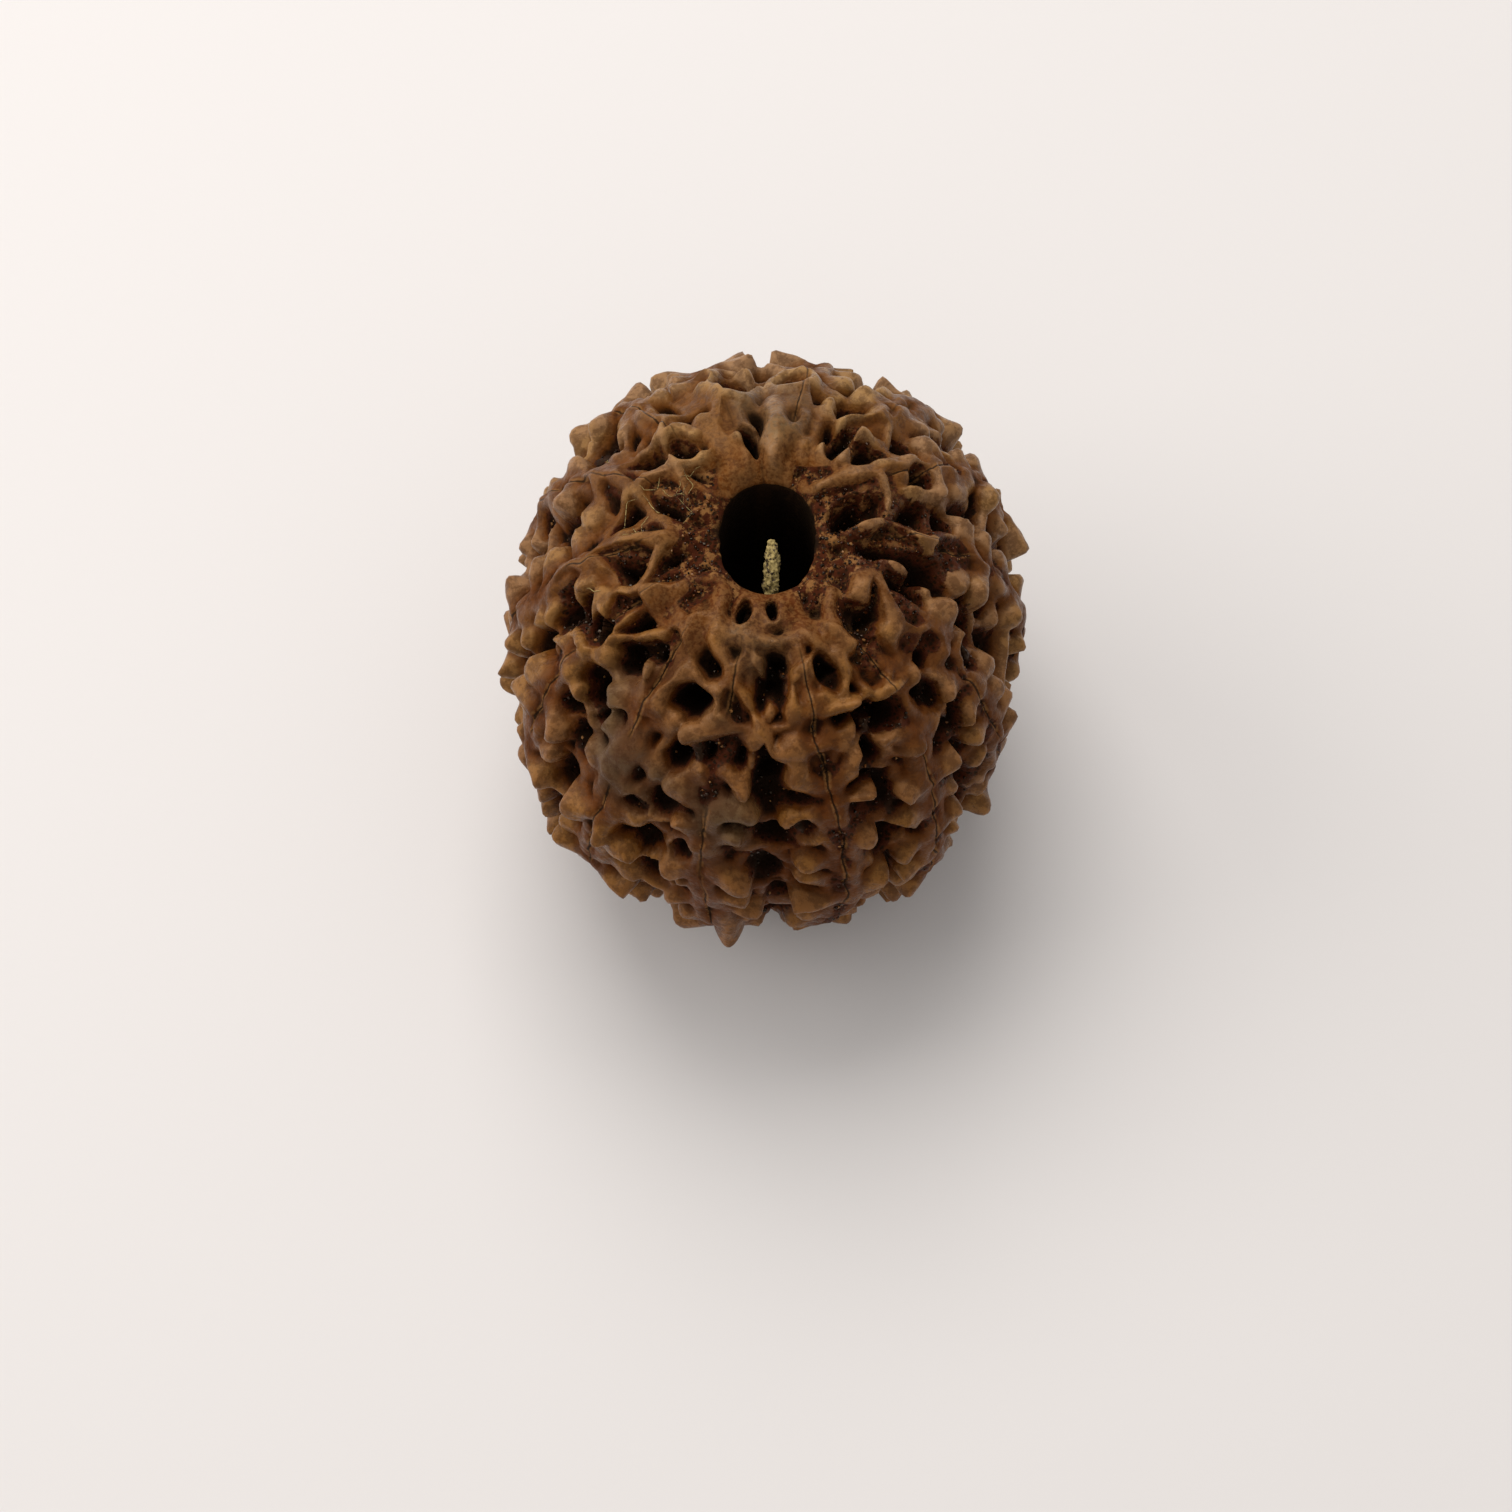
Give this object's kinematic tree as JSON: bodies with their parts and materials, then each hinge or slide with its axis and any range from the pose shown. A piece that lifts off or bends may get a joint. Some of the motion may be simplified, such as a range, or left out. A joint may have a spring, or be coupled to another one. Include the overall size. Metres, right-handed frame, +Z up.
{
  "type": "rudraksha bead",
  "caption": "Knobbed natural fruit-stone bead with meridian seams, blunt knobs, a net of low walls, pits round each mouth and a natural bore from end to end.",
  "frame": {"origin": "centre of the bead's box, at the level of the worn knob tips that it stands on", "axes": "+Z up along the natural bore, front is -Y, the section is longest along Y"},
  "size_m": [0.031, 0.0342, 0.0296],
  "materials": {
    "stone_brown": "satin, waxy on the ridges and rough in the pits"
  },
  "bodies": {
    "root": {"bead_stone": "stone_brown"}
  },
  "joints": []
}
